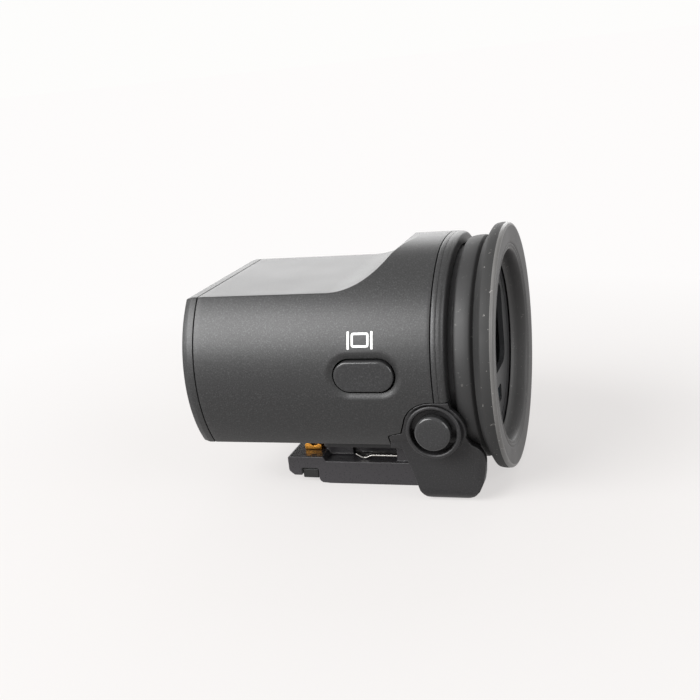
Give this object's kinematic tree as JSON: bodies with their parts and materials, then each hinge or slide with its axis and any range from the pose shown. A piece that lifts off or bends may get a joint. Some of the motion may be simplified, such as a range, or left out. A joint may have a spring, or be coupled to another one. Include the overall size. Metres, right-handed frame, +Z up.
{
  "type": "electronic viewfinder",
  "caption": "Electronic viewfinder for a camera's accessory shoe: round housing with a flat top, turning eyecup, push buttons and a sprung locking foot.",
  "frame": {"origin": "on the flat underside of the foot, on the middle plane, 23.4 mm in front of the eyecup's rim face", "axes": "+X along the optical axis towards the eye, +Z up from the foot to the housing, -Y towards the side with the two buttons"},
  "size_m": [0.0474, 0.0382, 0.0388],
  "materials": {
    "housing_metal": "bead-blasted and anodised black with a fine sparkle",
    "bracket_metal": "satin black anodised",
    "rubber": "soft matte black with a little dust",
    "black_plastic": "matte black, blackened against stray light",
    "button_black": "satin black with a polished edge",
    "steel": "bright spring steel",
    "gold": "gilt contact metal",
    "glass": "coated optical glass, dark as seen from outside",
    "circuit_board": "green solder resist",
    "display_glass": "dark glossy display face",
    "amber_film": "amber flexible film"
  },
  "bodies": {
    "viewfinder": {"housing": "housing_metal", "front_cap": "housing_metal", "rear_frame": "housing_metal", "rear_cover": "housing_metal", "eyepiece_mask": "black_plastic", "eye_sensor_window": "glass", "light_baffle": "black_plastic", "field_lens": "glass", "display_frame": "black_plastic", "display_panel": "display_glass", "display_board": "circuit_board", "flex_cable": "amber_film", "button_switch": "steel", "button_board": "circuit_board", "mount_bracket": "bracket_metal", "base_plate": "bracket_metal", "shoe_foot": "bracket_metal", "shoe_spring_near": "steel", "shoe_spring_far": "steel", "shoe_contact_1": "gold", "shoe_contact_2": "gold", "shoe_contact_3": "gold", "shoe_contact_4": "gold", "shoe_contact_5": "gold", "foot_screw_1": "steel", "foot_screw_2": "steel", "foot_screw_3": "steel", "foot_screw_4": "steel", "lever_pin": "steel"},
    "dioptre_dial": {"dioptre_ring": "black_plastic", "eyecup": "rubber"},
    "lens_carriage": {"lens_cell": "black_plastic", "eyepiece_lens": "glass"},
    "monitor_button": {"monitor_button": "button_black"},
    "release_button": {"release_button": "button_black"},
    "lock_lever": {"lock_lever": "steel"}
  },
  "joints": [
    {"name": "dioptre_turn", "type": "hinge", "parent": "viewfinder", "child": "dioptre_dial", "pos_m": [0.0234, 0, 0.0197], "axis": [1, 0, 0], "range_deg": [-50, 50]},
    {"name": "lens_slide", "type": "slide", "parent": "viewfinder", "child": "lens_carriage", "axis": [1, 0, 0], "range_m": [-0.0008, 0.0008]},
    {"name": "monitor_press", "type": "slide", "parent": "viewfinder", "child": "monitor_button", "axis": [0, 1, 0], "range_m": [0, 0.0004], "stiffness_N_per_m": 3000},
    {"name": "release_press", "type": "slide", "parent": "viewfinder", "child": "release_button", "axis": [0, 1, 0], "range_m": [0, 0.0004], "stiffness_N_per_m": 5000},
    {"name": "lever_rock", "type": "hinge", "parent": "viewfinder", "child": "lock_lever", "pos_m": [0.0014, 0, 0.00185], "axis": [0, 1, 0], "range_deg": [0, 2.5]}
  ],
  "couplings": [
    {"joint": "lens_slide", "follows": "dioptre_turn", "m_per_rad": 0.000916},
    {"joint": "lever_rock", "follows": "release_press", "rad_per_m": 109}
  ]
}
